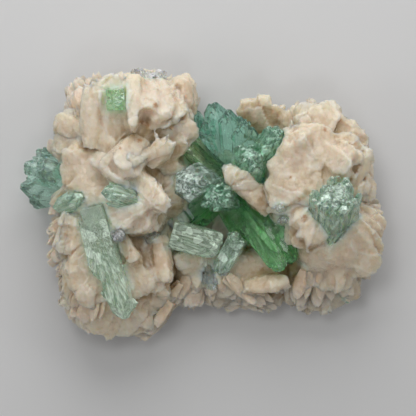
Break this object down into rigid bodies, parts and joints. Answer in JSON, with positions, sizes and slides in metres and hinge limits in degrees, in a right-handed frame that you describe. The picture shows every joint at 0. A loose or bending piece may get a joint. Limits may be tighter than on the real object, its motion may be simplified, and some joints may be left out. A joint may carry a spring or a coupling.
{
  "type": "apophyllite cluster on stilbite",
  "caption": "Mineral specimen: green and colourless glassy apophyllite prisms and sprays grown on two cream lobes of bladed stilbite, cut flat at the back so it lies display side up.",
  "frame": {"origin": "middle of the outline, on the flat cut back", "axes": "+Z out of the display side, +X to the viewer's right and +Y up as the display side is looked at"},
  "size_m": [0.1108, 0.0824, 0.0385],
  "materials": {
    "stilbite": "cream to peach blades with a soft pearly lustre, tan in the hollows",
    "deep_green_apophyllite": "clear glassy green, deepest at the roots, with bright flat faces",
    "pale_green_apophyllite": "clear glassy mint green with fine lines along the prism",
    "colourless_apophyllite": "clear and colourless with bright flat faces"
  },
  "bodies": {
    "root": {"stilbite_matrix": "stilbite", "central_spray": "deep_green_apophyllite", "square_crystal": "deep_green_apophyllite", "diamond_crystal": "deep_green_apophyllite", "left_spray": "pale_green_apophyllite", "long_prism": "pale_green_apophyllite", "left_tip": "pale_green_apophyllite", "middle_tip": "pale_green_apophyllite", "block_crystal": "pale_green_apophyllite", "green_prism": "pale_green_apophyllite", "edge_chip": "pale_green_apophyllite", "grey_prism": "colourless_apophyllite", "bridge_crystal": "colourless_apophyllite", "top_crystals": "colourless_apophyllite", "bright_crystal": "colourless_apophyllite", "hollow_crystal": "colourless_apophyllite", "upper_bit": "colourless_apophyllite", "lower_bit": "colourless_apophyllite", "foot_crystal": "colourless_apophyllite"}
  },
  "joints": []
}
